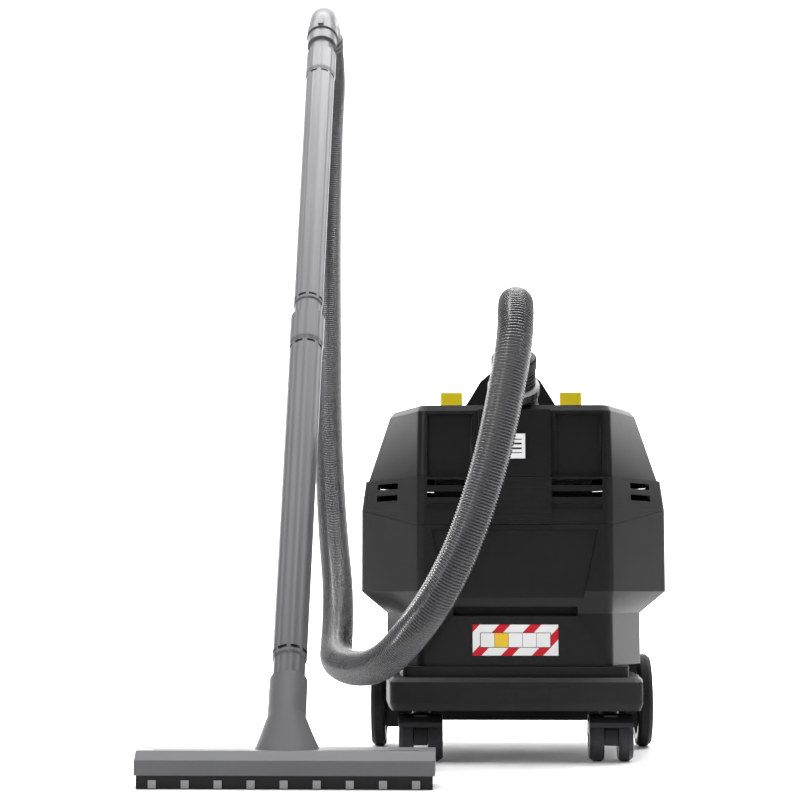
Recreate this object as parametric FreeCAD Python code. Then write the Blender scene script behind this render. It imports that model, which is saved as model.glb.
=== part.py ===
import FreeCAD
import Part
import math
import os

# Compact wet-and-dry vacuum cleaner: a trolley-mounted container with a motor head on top, a corrugated
# hose out of the head, and a wand of two tubes that ends in a wide floor nozzle.
# Millimetres, +Z up, the machine's front faces -Y, the floor is z = 0.

V = FreeCAD.Vector
UP = V(0, 0, 1)
ALONG_X = V(1, 0, 0)
ALONG_Y = V(0, 1, 0)

# ---- where the assemblies stand -------------------------------------------------------------------
MACHINE_X, MACHINE_Y = 101.45, 53.47        # plan centre of the container
NOZZLE_X, NOZZLE_FRONT_Y = -138.55, -451.53  # middle of the nozzle's front edge
WAND_FOOT = V(-142.45, -347.31, 127.1)       # wand axis where the lower tube's body begins
WAND_LEAN, WAND_SWAY = 38.0, -1.2          # degrees back, and to the left

# ---- fits -----------------------------------------------------------------------------------------
RUNNING = 0.06      # radial, shaft in its bore
GAP = 0.4           # between separate bodies

# ---- container and trolley ------------------------------------------------------------------------
WALL = 4.0
CORNER = 12.0
NOSE_HALF = 112.0                 # half-width of the flat front
FRONT, REAR = -175.0, 178.0       # of the container's upper bulge
BULGE_HALF = 185.0
WAIST_HALF, WAIST_FRONT, WAIST_REAR = 154.0, -167.0, 170.0
TUB_BOTTOM, WAIST_TOP, BULGE_BOTTOM = 111.0, 172.0, 198.0
SEAM_FRONT, SEAM_SIDE = 276.0, 295.0
SEAM_BREAK_FRONT, SEAM_BREAK_SIDE = -168.0, -84.0
GRIP_HALF, GRIP_LOW, GRIP_HIGH, GRIP_DEPTH = 73.0, 169.0, 180.0, 14.0
PEDESTAL_HALF, PEDESTAL_PROUD = 106.0, 4.0
SCOOP_TOP_HALF, SCOOP_TOP_Z, SCOOP_LOW_HALF, SCOOP_LOW_Z, SCOOP_DEPTH = 98.0, 270.0, 79.0, 186.0, 2.4
GASKET_Z, GASKET_THICK = 268.0, 4.0
PLATE_WIDTH, PLATE_HEIGHT, PLATE_THICK, PLATE_Z = 100.0, 36.0, 0.8, 141.0

BASE_BOTTOM, BASE_TOP = 60.0, 110.6
BUMPER_TOP = 98.0
BASE_HALF, BASE_FRONT, BASE_REAR = 154.0, -192.0, 178.0
BASE_NOSE = 146.0
BASE_WALL = 5.0

WHEEL_R, WHEEL_WIDTH, WHEEL_Y = 59.0, 18.0, 88.0
WHEEL_INNER_X = 161.0
CHEEK_X, CHEEK_REACH, CHEEK_LOW = 159.6, 46.0, 27.0
AXLE_R = 7.0
TYRE_THICK = 9.0

CASTER_X, CASTER_Y, CASTER_TRAIL = 111.0, -131.0, 18.0
CASTER_R, CASTER_DISC, CASTER_GAP = 25.0, 17.0, 17.0
STEM_R, PIN_R = 5.5, 3.0

# ---- head -----------------------------------------------------------------------------------------
LEDGE_Z, HEAD_TOP = 332.0, 418.0
LEDGE_HALF, SHOULDER_HALF, TOP_HALF = 180.0, 151.0, 146.0
HEAD_FRONT_LOW, HEAD_FRONT_HIGH = -171.0, -166.0
SHOULDER_Z = 411.0
HEAD_WALL = 3.5
DECK = 4.0
BOSS_HALF, BOSS_PROUD = 43.0, 4.0
PANEL_INNER, PANEL_OUTER, PANEL_DEPTH = 49.0, 103.0, 5.0
PARTITION_Z, PARTITION_THICK = 298.0, 4.0
SLOT_HEIGHT = 7.0
SLOT_LEVELS = (322.0, 308.0)
BLIND_SLOT_Z = 294.0

LID_HALF, LID_FRONT, LID_REAR = 92.0, -98.0, -14.0
LID_THICK = 5.0
CATCH_X, CATCH_WIDTH, CATCH_HEIGHT = 75.0, 27.0, 26.0
CATCH_TAB_IN, CATCH_TAB_OUT = 5.6, 9.4
FILTER_HEIGHT = 38.0

MOTOR_Y, MOTOR_R, MOTOR_TOP = 66.0, 60.0, 392.0
SHAFT_R, FAN_R, ARMATURE_R = 4.0, 46.0, 30.0
CAGE_R, CAGE_BOTTOM, BALL_R = 34.0, 236.0, 22.0
BALL_TRAVEL = 12.0

HANDLE_Y, HANDLE_FOOT, HANDLE_CROWN, HANDLE_TOP = 8.0, 57.0, 34.0, 474.0
HANDLE_THICK, HANDLE_DEPTH = 17.0, 22.0

KNOB_X, KNOB_Y, KNOB_R = 100.0, 66.0, 17.0
BUTTON_X, BUTTON_R, BUTTON_TRAVEL = -100.0, 14.0, 4.0

LATCH_WIDTH, LATCH_LOW, LATCH_HIGH, LATCH_THICK = 46.0, 256.0, 322.0, 3.6
LATCH_Y, LATCH_POCKET = 30.0, 2.6
LATCH_PIN_R = 1.5
LATCH_PIN_X = BULGE_HALF - 0.2

PORT_Y, PORT_LEAN = -136.0, 35.0
PORT_R, PORT_BORE = 29.0, 24.0
PORT_LENGTH, RING_LENGTH, SLEEVE_END = 18.0, 14.0, 68.4
SPIGOT_START = 16.2
DUCT_R, DUCT_WALL = 20.8, 2.2

# ---- wand, measured along its own axis from WAND_FOOT ------------------------------------------------
TUBE_PITCH = 541.0
TUBE_BODY = 463.0
STUB_R, STUB_IN, STUB_BARE = 17.0, 46.0, 25.0
BORE_R = 15.0
TUBE_LOW_R, TUBE_HIGH_R, COLLAR_R = 18.4, 20.2, 21.2
COLLAR_LENGTH = 53.0
ELBOW_BEND_START, ELBOW_BEND_R, ELBOW_TURN, ELBOW_TWIST = 48.0, 55.0, 85.0, 2.0
ELBOW_R, ELBOW_EXIT = 20.0, 12.0
CUFF_LENGTH, CUFF_R = 13.0, 22.5

NOZZLE_WIDTH, NOZZLE_DEPTH, NOZZLE_LOW, NOZZLE_HIGH = 301.0, 72.0, 13.5, 37.5
NOZZLE_WALL = 3.0
STRIP_DEPTH, STRIP_NIBS = 5.0, 9
ROLLER_R, ROLLER_X, ROLLER_BACK = 9.0, 118.0, 9.8

# ---- hose -----------------------------------------------------------------------------------------
HOSE_R, HOSE_WALL = 20.5, 1.6
SLEEVE_LEAD, CUFF_LEAD = 46.4, 55.0     # straight ends, in line with the sleeve and with the cuff
HOSE_POINTS = [
    (102, -195, 529), (101, -243, 514), (99, -275, 475), (89, -287, 418), (76, -293, 356),
    (58, -294, 293), (35, -290, 232), (8, -276, 183), (-20, -247, 146), (-45, -202, 121),
    (-68, -148, 109), (-95, -84, 107), (-116, -8, 114), (-120, 65, 131), (-123, 140, 160),
    (-128, 214, 207), (-139, 287, 270), (-149, 361, 350), (-157, 429, 440), (-161, 483, 540),
    (-164, 516, 641), (-165, 529, 735), (-164, 533, 830), (-161, 525, 915),
]


# ---- shape helpers ----------------------------------------------------------------------------------
def box(x0, x1, y0, y1, z0, z1):
    return Part.makeBox(x1 - x0, y1 - y0, z1 - z0, V(x0, y0, z0))


def rod(start, axis, radius, length):
    return Part.makeCylinder(radius, length, start, axis)


def pipe(start, axis, outer, inner, length):
    return rod(start, axis, outer, length).cut(rod(start, axis, inner, length))


def joined(shapes):
    result = shapes[0]
    for shape in shapes[1:]:
        result = result.fuse(shape)
    return result.removeSplitter()


def mirrored(shape):
    return shape.mirror(V(0, 0, 0), ALONG_X)


def inset(points, distance):
    """Moves every edge of a convex counter-clockwise outline inwards by the same distance."""
    moved = []
    count = len(points)
    for i in range(count):
        a, b, c = points[i - 1], points[i], points[(i + 1) % count]
        first = math.atan2(b[1] - a[1], b[0] - a[0])
        second = math.atan2(c[1] - b[1], c[0] - b[0])
        half = (second - first) / 2
        reach = abs(distance / math.cos(half))
        middle = (first + second) / 2
        if abs(second - first) > math.pi:
            middle += math.pi
        moved.append((b[0] - reach * math.sin(middle), b[1] + reach * math.cos(middle)))
    return moved


def outline_wire(points, radius, z):
    """Closed wire of a convex outline with its corners rounded."""
    edges = []
    count = len(points)
    corners = []
    for i in range(count):
        before, here, after = (V(*points[j % count], z) for j in (i - 1, i, i + 1))
        into = (here - before).normalize()
        away = (after - here).normalize()
        turn = into.getAngle(away)
        reach = radius * math.tan(turn / 2)
        start = here - into * reach
        end = here + away * reach
        centre = here + (away - into).normalize() * (radius / math.cos(turn / 2))
        middle = centre + (here - centre).normalize() * radius
        corners.append((start, middle, end))
    for i in range(count):
        start, middle, end = corners[i]
        edges.append(Part.Arc(start, middle, end).toShape())
        edges.append(Part.LineSegment(end, corners[(i + 1) % count][0]).toShape())
    return Part.Wire(edges)


def stacked(levels, radius):
    """Solid through rounded outlines, one per level."""
    wires = [outline_wire(points, radius, z) for z, points in levels]
    return Part.makeLoft(wires, True, True)


def turned(profile):
    """Solid of revolution about the local z axis, from (radius, height) points."""
    points = [V(r, 0, z) for r, z in profile]
    face = Part.Face(Part.makePolygon(points + points[:1]))
    return face.revolve(V(0, 0, 0), UP, 360)


def octagon(half, front, rear, nose=NOSE_HALF):
    """Plan outline of the machine: flat nose, flat sides and flat tail, joined by facets."""
    tail = nose - 8
    return [(-nose, front), (nose, front), (half, front + 96), (half, rear - 86),
            (tail, rear), (-tail, rear), (-half, rear - 86), (-half, front + 96)]


# ---- shared outlines --------------------------------------------------------------------------------
WAIST = octagon(WAIST_HALF, WAIST_FRONT, WAIST_REAR)
BULGE = octagon(BULGE_HALF, FRONT, REAR)
LEDGE = octagon(LEDGE_HALF, FRONT, REAR)
SKIRT = octagon(LEDGE_HALF - 3, HEAD_FRONT_LOW, REAR - 3)
SHOULDER = octagon(SHOULDER_HALF, HEAD_FRONT_HIGH, REAR - 16)
TOP = octagon(TOP_HALF, HEAD_FRONT_HIGH + 4, REAR - 20, NOSE_HALF - 3)
TUB_LEVELS = [(TUB_BOTTOM, WAIST), (WAIST_TOP, WAIST), (BULGE_BOTTOM, BULGE), (SEAM_SIDE + 10, BULGE)]
SPAN = 2 * BULGE_HALF


def seam_prism(low_z, high_z, lift):
    """Everything between low_z or high_z and the stepped seam, lifted by a gap."""
    edge = high_z if low_z is None else low_z
    profile = [V(-SPAN, -SPAN, SEAM_FRONT + lift), V(-SPAN, SEAM_BREAK_FRONT, SEAM_FRONT + lift),
               V(-SPAN, SEAM_BREAK_SIDE, SEAM_SIDE + lift), V(-SPAN, SPAN, SEAM_SIDE + lift),
               V(-SPAN, SPAN, edge), V(-SPAN, -SPAN, edge)]
    face = Part.Face(Part.makePolygon(profile + profile[:1]))
    return face.extrude(V(2 * SPAN, 0, 0))


def latch_pockets():
    half = LATCH_WIDTH / 2 + 1
    pocket = box(BULGE_HALF - LATCH_POCKET, BULGE_HALF + 20, LATCH_Y - half, LATCH_Y + half,
                 LATCH_LOW - 8, LATCH_HIGH + 1.5)
    return pocket.fuse(mirrored(pocket))


# ---- trolley ----------------------------------------------------------------------------------------
def base_trolley():
    bumper = octagon(BASE_HALF, BASE_FRONT, BASE_REAR, BASE_NOSE)
    upper = inset(bumper, 16)
    body = stacked([(BASE_BOTTOM, inset(bumper, 3)), (BASE_BOTTOM + 8, bumper), (BUMPER_TOP - 5, bumper),
                    (BUMPER_TOP, inset(bumper, 5)), (BUMPER_TOP + 0.5, upper), (BASE_TOP, upper)], 8)
    hollow = stacked([(BASE_BOTTOM - 1, inset(upper, BASE_WALL)),
                      (BASE_TOP - BASE_WALL, inset(upper, BASE_WALL))], 8)
    axle_box = box(-BASE_HALF, BASE_HALF, WHEEL_Y - 24, WHEEL_Y + 24, WHEEL_R - 25, BASE_TOP - 1)
    cheek = box(BASE_HALF - 10, CHEEK_X, WHEEL_Y - CHEEK_REACH, WHEEL_Y + CHEEK_REACH, CHEEK_LOW, BASE_TOP - 1)
    parts = [body.cut(hollow), axle_box, cheek, mirrored(cheek)]
    for side in (-1, 1):
        parts.append(rod(V(side * CASTER_X, CASTER_Y, BASE_BOTTOM), UP, 15, BASE_TOP - BASE_BOTTOM - 1))
    shape = joined(parts)
    shape = shape.cut(rod(V(-SPAN, WHEEL_Y, WHEEL_R), ALONG_X, AXLE_R, 2 * SPAN))
    for side in (-1, 1):
        socket = rod(V(side * CASTER_X, CASTER_Y, BASE_BOTTOM - 1), UP, STEM_R + RUNNING, 38)
        shape = shape.cut(socket)
        for y in (-60, 130):
            shape = shape.cut(rod(V(side * 60, y, BASE_TOP - 12), UP, 2.5, 20))
    return shape


def base_screws():
    screws = []
    for x in (-60, 60):
        for y in (-60, 130):
            shank = rod(V(x, y, BASE_TOP - BASE_WALL - 0.4), UP, 2.5, 9)
            head = rod(V(x, y, BASE_TOP - BASE_WALL - 3.4), UP, 4.5, 3)
            screws.append(shank.fuse(head))
    return Part.makeCompound(screws)


def rear_axle():
    length = 2 * (WHEEL_INNER_X + WHEEL_WIDTH - 6)
    return rod(V(-length / 2, WHEEL_Y, WHEEL_R), ALONG_X, AXLE_R, length)


def rear_wheel(side):
    """Rim, web and capped hub that runs on the axle."""
    start = V(WHEEL_INNER_X, WHEEL_Y, WHEEL_R)
    rim_r = WHEEL_R - TYRE_THICK
    rim = pipe(start, ALONG_X, rim_r, rim_r - 6, WHEEL_WIDTH - 2)
    web = pipe(start + V(6, 0, 0), ALONG_X, rim_r - 3, AXLE_R + 2, 6)
    hub = pipe(start, ALONG_X, 15, AXLE_R + RUNNING, WHEEL_WIDTH - 4)
    bore = rod(start - V(1, 0, 0), ALONG_X, AXLE_R + RUNNING, WHEEL_WIDTH - 4)
    cap = rod(start + V(WHEEL_WIDTH - 4, 0, 0), ALONG_X, 30, 3)
    shape = joined([joined([rim, web, hub]).cut(bore), cap])
    return shape if side > 0 else mirrored(shape)


def rear_tyre(side):
    start = V(WHEEL_INNER_X, WHEEL_Y, WHEEL_R)
    profile = [(WHEEL_R - TYRE_THICK, 0), (WHEEL_R - 3, 0), (WHEEL_R, 4), (WHEEL_R, WHEEL_WIDTH - 5),
               (WHEEL_R - 4, WHEEL_WIDTH), (WHEEL_R - TYRE_THICK, WHEEL_WIDTH)]
    shape = turned(profile)
    shape.rotate(V(0, 0, 0), ALONG_Y, 90)
    shape.translate(start)
    return shape if side > 0 else mirrored(shape)


# ---- casters ----------------------------------------------------------------------------------------
def caster_hood(side):
    x, y = side * CASTER_X, CASTER_Y - CASTER_TRAIL
    centre = V(x, y, CASTER_R)
    half_gap = CASTER_GAP / 2 - 0.6
    cover_r = CASTER_R + 5
    width = CASTER_GAP + 2 * CASTER_DISC
    web = rod(centre - V(half_gap, 0, 0), ALONG_X, CASTER_R - 4, 2 * half_gap)
    web = web.common(box(x - width, x + width, y - 30, y + 30, CASTER_R - 6, 80))
    cover = pipe(centre - V(width / 2, 0, 0), ALONG_X, cover_r, CASTER_R + 1.5, width)
    cover = cover.common(box(x - width, x + width, y - 22, y + 50, CASTER_R + 2, 80))
    neck = box(x - half_gap, x + half_gap, y - 16, y + 16, CASTER_R, CASTER_R + cover_r - 25)
    bridge = box(x - half_gap, x + half_gap, y - 14, y + 14, CASTER_R + 10, CASTER_R + cover_r - 1.5)
    boss = rod(V(x, CASTER_Y, CASTER_R + 18), UP, 11, BASE_BOTTOM - CASTER_R - 19.5)
    boss = boss.cut(rod(centre - V(width, 0, 0), ALONG_X, CASTER_R + 1.5, 2 * width))
    shape = joined([web, cover, neck, bridge, boss])
    shape = shape.cut(rod(centre - V(width, 0, 0), ALONG_X, PIN_R, 2 * width))
    return shape.cut(rod(V(x, CASTER_Y, BASE_BOTTOM - 8), UP, STEM_R, 20))


def caster_stem(side):
    return rod(V(side * CASTER_X, CASTER_Y, BASE_BOTTOM - 8), UP, STEM_R, 42)


def caster_axle(side):
    length = CASTER_GAP + 2 * CASTER_DISC - 4
    start = V(side * CASTER_X - length / 2, CASTER_Y - CASTER_TRAIL, CASTER_R)
    return rod(start, ALONG_X, PIN_R, length)


def caster_disc(side, hand):
    """One disc of the twin wheel; hand is -1 for the left disc and 1 for the right one."""
    centre = V(side * CASTER_X, CASTER_Y - CASTER_TRAIL, CASTER_R)
    profile = [(PIN_R + RUNNING, 0), (CASTER_R - 2, 0), (CASTER_R, 3), (CASTER_R, CASTER_DISC - 5),
               (CASTER_R - 4, CASTER_DISC), (9, CASTER_DISC), (9, CASTER_DISC - 1.5),
               (PIN_R + RUNNING, CASTER_DISC - 1.5)]
    disc = turned(profile)
    disc.rotate(V(0, 0, 0), ALONG_Y, 90)
    disc.translate(V(CASTER_GAP / 2, 0, 0))
    if hand < 0:
        disc = mirrored(disc)
    disc.translate(centre)
    return disc


# ---- container --------------------------------------------------------------------------------------
def container():
    outer = stacked(TUB_LEVELS, CORNER)
    inner_levels = [(TUB_BOTTOM + WALL, inset(WAIST, WALL)), (WAIST_TOP, inset(WAIST, WALL)),
                    (BULGE_BOTTOM, inset(BULGE, WALL)), (SEAM_SIDE + 11, inset(BULGE, WALL))]
    inner = stacked(inner_levels, CORNER - WALL)
    grip_pad = box(-GRIP_HALF - 5, GRIP_HALF + 5, WAIST_FRONT + 1, WAIST_FRONT + GRIP_DEPTH + 12,
                   GRIP_LOW - 5, GRIP_HIGH + 8)
    ledge = stacked([(GASKET_Z - 8, inset(BULGE, WALL - 1)), (GASKET_Z, inset(BULGE, WALL - 1))], CORNER - WALL)
    ledge = ledge.cut(stacked([(GASKET_Z - 9, inset(BULGE, 13)), (GASKET_Z + 1, inset(BULGE, 13))], 4))
    shape = joined([outer.cut(inner), grip_pad, ledge])
    low, high = TUB_BOTTOM, GRIP_LOW
    y = WAIST_FRONT
    flare = [V(-PEDESTAL_HALF, y, low), V(PEDESTAL_HALF, y, low), V(PEDESTAL_HALF, y, low + 12),
             V(GRIP_HALF, y, high), V(-GRIP_HALF, y, high), V(-PEDESTAL_HALF, y, low + 12)]
    pedestal = Part.Face(Part.makePolygon(flare + flare[:1])).extrude(V(0, 1, 0))
    pedestal = pedestal.fuse(Part.Face(Part.makePolygon(flare + flare[:1])).extrude(V(0, -PEDESTAL_PROUD, 0)))
    shape = joined([shape, pedestal])
    grip = box(-GRIP_HALF, GRIP_HALF, FRONT - 10, WAIST_FRONT + GRIP_DEPTH, GRIP_LOW, GRIP_HIGH)
    scoop_outline = [V(-SCOOP_TOP_HALF, FRONT - 5, SCOOP_TOP_Z), V(SCOOP_TOP_HALF, FRONT - 5, SCOOP_TOP_Z),
                     V(SCOOP_LOW_HALF, FRONT - 5, SCOOP_LOW_Z), V(-SCOOP_LOW_HALF, FRONT - 5, SCOOP_LOW_Z)]
    scoop = Part.Face(Part.makePolygon(scoop_outline + scoop_outline[:1])).extrude(V(0, 5 + SCOOP_DEPTH, 0))
    label = box(-PLATE_WIDTH / 2, PLATE_WIDTH / 2, WAIST_FRONT - PEDESTAL_PROUD - 1,
                WAIST_FRONT - PEDESTAL_PROUD + PLATE_THICK / 2,
                PLATE_Z - PLATE_HEIGHT / 2, PLATE_Z + PLATE_HEIGHT / 2)
    shape = shape.cut(grip).cut(scoop).cut(label).cut(seam_prism(None, SEAM_SIDE + 40, 0)).cut(latch_pockets())
    lugs = []
    for side in (-1, 1):
        for y in (LATCH_Y - LATCH_WIDTH / 2 - 4.5, LATCH_Y + LATCH_WIDTH / 2 + 0.5):
            lug = box(BULGE_HALF - 3.2, BULGE_HALF + 2.4, y, y + 4, LATCH_LOW - 4, LATCH_LOW + 4)
            lugs.append(lug if side > 0 else mirrored(lug))
    shape = joined([shape] + lugs)
    for side in (-1, 1):
        pin = V(side * LATCH_PIN_X, LATCH_Y - 40, LATCH_LOW)
        shape = shape.cut(rod(pin, ALONG_Y, LATCH_PIN_R, 80))
        for y in (-60, 130):
            shape = shape.cut(rod(V(side * 60, y, TUB_BOTTOM - 1), UP, 2.5, WALL + 5))
    return shape


def gasket():
    outer = inset(BULGE, WALL + 0.5)
    ring = stacked([(GASKET_Z, outer), (GASKET_Z + GASKET_THICK - GAP, outer)], 6)
    hole = inset(outer, 6)
    return ring.cut(stacked([(GASKET_Z - 1, hole), (GASKET_Z + GASKET_THICK + 1, hole)], 3))


def striped_plate():
    front = WAIST_FRONT - PEDESTAL_PROUD
    return box(-PLATE_WIDTH / 2, PLATE_WIDTH / 2, front - PLATE_THICK / 2, front + PLATE_THICK / 2,
               PLATE_Z - PLATE_HEIGHT / 2, PLATE_Z + PLATE_HEIGHT / 2)


def latch(side):
    """Flat over-centre latch plate with a hinge barrel at its foot."""
    face = BULGE_HALF - LATCH_POCKET + GAP
    half = LATCH_WIDTH / 2
    plate = box(face, face + LATCH_THICK, LATCH_Y - half, LATCH_Y + half, LATCH_LOW, LATCH_HIGH)
    lip = box(face + LATCH_THICK - 1, face + LATCH_THICK + 1.2, LATCH_Y - half + 6, LATCH_Y + half - 6,
              LATCH_HIGH - 8, LATCH_HIGH - 3)
    axis = V(LATCH_PIN_X, LATCH_Y - half, LATCH_LOW)
    shape = joined([plate, lip, rod(axis, ALONG_Y, 2.1, LATCH_WIDTH)])
    shape = shape.cut(rod(axis - V(0, 1, 0), ALONG_Y, LATCH_PIN_R + RUNNING, LATCH_WIDTH + 2))
    return shape if side > 0 else mirrored(shape)


def latch_pins():
    length = LATCH_WIDTH + 9
    pin = rod(V(LATCH_PIN_X, LATCH_Y - length / 2, LATCH_LOW), ALONG_Y, LATCH_PIN_R, length)
    return Part.makeCompound([pin, mirrored(pin)])


# ---- head -------------------------------------------------------------------------------------------
def vent_slot(x0, x1, z, through):
    depth = 20 if through else 2.5
    return box(x0, x1, FRONT - 10, FRONT + depth, z, z + SLOT_HEIGHT)


def side_slots():
    """Two slots through each front facet of the lower housing."""
    half_length = 22
    middle = V((NOSE_HALF + BULGE_HALF) / 2 + 4, FRONT + 54, 0)
    angle = math.degrees(math.atan2(96, BULGE_HALF - NOSE_HALF))
    slots = []
    for z in (320.0, 306.0):
        slot = box(-half_length, half_length, -20, 12, z, z + SLOT_HEIGHT)
        slot.rotate(V(0, 0, 0), UP, angle)
        slot.translate(middle)
        slots += [slot, mirrored(slot)]
    return slots


def head_lower():
    outer = stacked([(SEAM_FRONT - 12, BULGE), (SEAM_SIDE + 2, BULGE), (LEDGE_Z, LEDGE)], CORNER)
    inner = stacked([(SEAM_FRONT - 13, inset(BULGE, WALL)), (LEDGE_Z + 1, inset(LEDGE, WALL))], CORNER - WALL)
    shell = outer.cut(inner)
    boss = box(-BOSS_HALF, BOSS_HALF, FRONT - BOSS_PROUD, FRONT + 1, SEAM_FRONT, LEDGE_Z)
    shell = joined([shell, boss]).cut(seam_prism(0, None, GAP)).cut(latch_pockets())
    plate_outline = inset(BULGE, WALL - 1)
    partition = stacked([(PARTITION_Z, plate_outline), (PARTITION_Z + PARTITION_THICK, plate_outline)],
                        CORNER - WALL)
    spigot_outline = inset(BULGE, WALL + 1)
    spigot = stacked([(GASKET_Z + GASKET_THICK, spigot_outline), (PARTITION_Z + 1, spigot_outline)], 7)
    core = inset(spigot_outline, 4)
    spigot = spigot.cut(stacked([(GASKET_Z, core), (PARTITION_Z + 2, core)], 3))
    shape = joined([shell, partition, spigot])
    for x0, x1 in ((PANEL_INNER - 5, PANEL_OUTER), (-PANEL_OUTER, -PANEL_INNER + 5)):
        for z in SLOT_LEVELS:
            shape = shape.cut(vent_slot(x0, x1, z, True))
        shape = shape.cut(vent_slot(x0, x1, BLIND_SLOT_Z, False))
    for slot in side_slots():
        shape = shape.cut(slot)
    filter_hole = box(-LID_HALF + 14, LID_HALF - 14, LID_FRONT + 12, LID_REAR - 12,
                      PARTITION_Z - 1, PARTITION_Z + PARTITION_THICK + 1)
    intake = rod(V(0, MOTOR_Y, PARTITION_Z - 1), UP, 24, PARTITION_THICK + 2)
    inlet = rod(V(0, PORT_Y, PARTITION_Z - 1), UP, DUCT_R + 0.1, PARTITION_THICK + 2)
    shape = shape.cut(filter_hole).cut(intake).cut(inlet)
    for x in (-90, 90):
        for y in (-120, 140):
            shape = shape.cut(rod(V(x, y, PARTITION_Z - 1), UP, 2, PARTITION_THICK + 2))
    gland_hole = rod(V(-60, REAR - 12, 316), ALONG_Y, 6.0, 20)
    return shape.cut(gland_hole)


def head_upper():
    levels = [(LEDGE_Z + GAP, SKIRT), (SHOULDER_Z, SHOULDER), (HEAD_TOP, TOP)]
    outer = stacked(levels, CORNER)
    inner = stacked([(LEDGE_Z, inset(SKIRT, HEAD_WALL + PANEL_DEPTH)),
                     (HEAD_TOP - DECK, inset(SHOULDER, HEAD_WALL + PANEL_DEPTH))], 5)
    boss = stacked([(LEDGE_Z + GAP, [(-BOSS_HALF, FRONT - BOSS_PROUD), (BOSS_HALF, FRONT - BOSS_PROUD),
                                     (BOSS_HALF, FRONT + 12), (-BOSS_HALF, FRONT + 12)]),
                    (HEAD_TOP - 6, [(-BOSS_HALF, HEAD_FRONT_HIGH - BOSS_PROUD),
                                    (BOSS_HALF, HEAD_FRONT_HIGH - BOSS_PROUD),
                                    (BOSS_HALF, HEAD_FRONT_HIGH + 12), (-BOSS_HALF, HEAD_FRONT_HIGH + 12)])], 1)
    shape = joined([outer, boss]).cut(inner)
    panel = stacked([(LEDGE_Z + 2, [(PANEL_INNER, FRONT - 12), (PANEL_OUTER, FRONT - 12),
                                    (PANEL_OUTER, HEAD_FRONT_LOW + PANEL_DEPTH),
                                    (PANEL_INNER, HEAD_FRONT_LOW + PANEL_DEPTH)]),
                     (SHOULDER_Z - 4, [(PANEL_INNER, FRONT - 12), (PANEL_OUTER, FRONT - 12),
                                       (PANEL_OUTER, HEAD_FRONT_HIGH + PANEL_DEPTH),
                                       (PANEL_INNER, HEAD_FRONT_HIGH + PANEL_DEPTH)])], 1)
    shape = shape.cut(panel).cut(mirrored(panel))
    badge = box(-13, 13, FRONT - 10, FRONT + 0.5, 353, 383)
    shape = shape.cut(badge)
    top = HEAD_TOP + 1
    opening = box(-LID_HALF, LID_HALF, LID_FRONT, LID_REAR, HEAD_TOP - DECK - 2, top)
    inlet = rod(V(0, PORT_Y, HEAD_TOP - DECK - 2), UP, PORT_BORE + 3, DECK + 4)
    knob_hole = rod(V(KNOB_X, KNOB_Y, HEAD_TOP - DECK - 2), UP, 5, DECK + 4)
    button_hole = rod(V(BUTTON_X, KNOB_Y, HEAD_TOP - DECK - 2), UP, BUTTON_R + GAP, DECK + 4)
    shape = shape.cut(opening).cut(inlet).cut(knob_hole).cut(button_hole)
    for side in (-1, 1):
        shape = shape.cut(rod(V(side * HANDLE_FOOT, HANDLE_Y, HEAD_TOP - 8), UP, 3, 10))
    hook_hole = box(-12, 12, REAR - 30, REAR, 360, 366)
    return shape.cut(hook_hole)


def head_screws():
    screws = []
    for x in (-90, 90):
        for y in (-120, 140):
            shank = rod(V(x, y, PARTITION_Z - 0.2), UP, 2, 10)
            head = rod(V(x, y, PARTITION_Z - 3), UP, 4, 2.8)
            screws.append(shank.fuse(head))
    return Part.makeCompound(screws)


def badge_plate():
    return box(-12.6, 12.6, FRONT - 3.9, FRONT + 0.4, 353.4, 382.6)


def carry_handle():
    """Trapezoid arch that stands across the top."""
    y0, y1 = HANDLE_Y - HANDLE_DEPTH / 2, HANDLE_Y + HANDLE_DEPTH / 2
    foot, crown, low, high = HANDLE_FOOT, HANDLE_CROWN, HEAD_TOP + 0.1, HANDLE_TOP
    outer = [V(-foot - 9, y0, low), V(foot + 9, y0, low), V(crown + 4, y0, high - 10), V(crown - 8, y0, high),
             V(8 - crown, y0, high), V(-crown - 4, y0, high - 10)]
    shape = Part.Face(Part.makePolygon(outer + outer[:1])).extrude(V(0, y1 - y0, 0))
    t = HANDLE_THICK
    hole = [V(-foot - 9 + t * 1.35, y0 - 1, low - 1), V(foot + 9 - t * 1.35, y0 - 1, low - 1),
            V(crown + 2 - t, y0 - 1, high - t), V(-crown - 2 + t, y0 - 1, high - t)]
    shape = shape.cut(Part.Face(Part.makePolygon(hole + hole[:1])).extrude(V(0, y1 - y0 + 2, 0)))
    edges = [e for e in shape.Edges if abs(e.BoundBox.ZMin - high) < 0.01 and e.BoundBox.XLength > 5]
    shape = shape.makeFillet(3, edges)
    for side in (-1, 1):
        shape = shape.fuse(rod(V(side * foot, HANDLE_Y, HEAD_TOP - 7), UP, 3, 9))
    return shape.removeSplitter()


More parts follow.
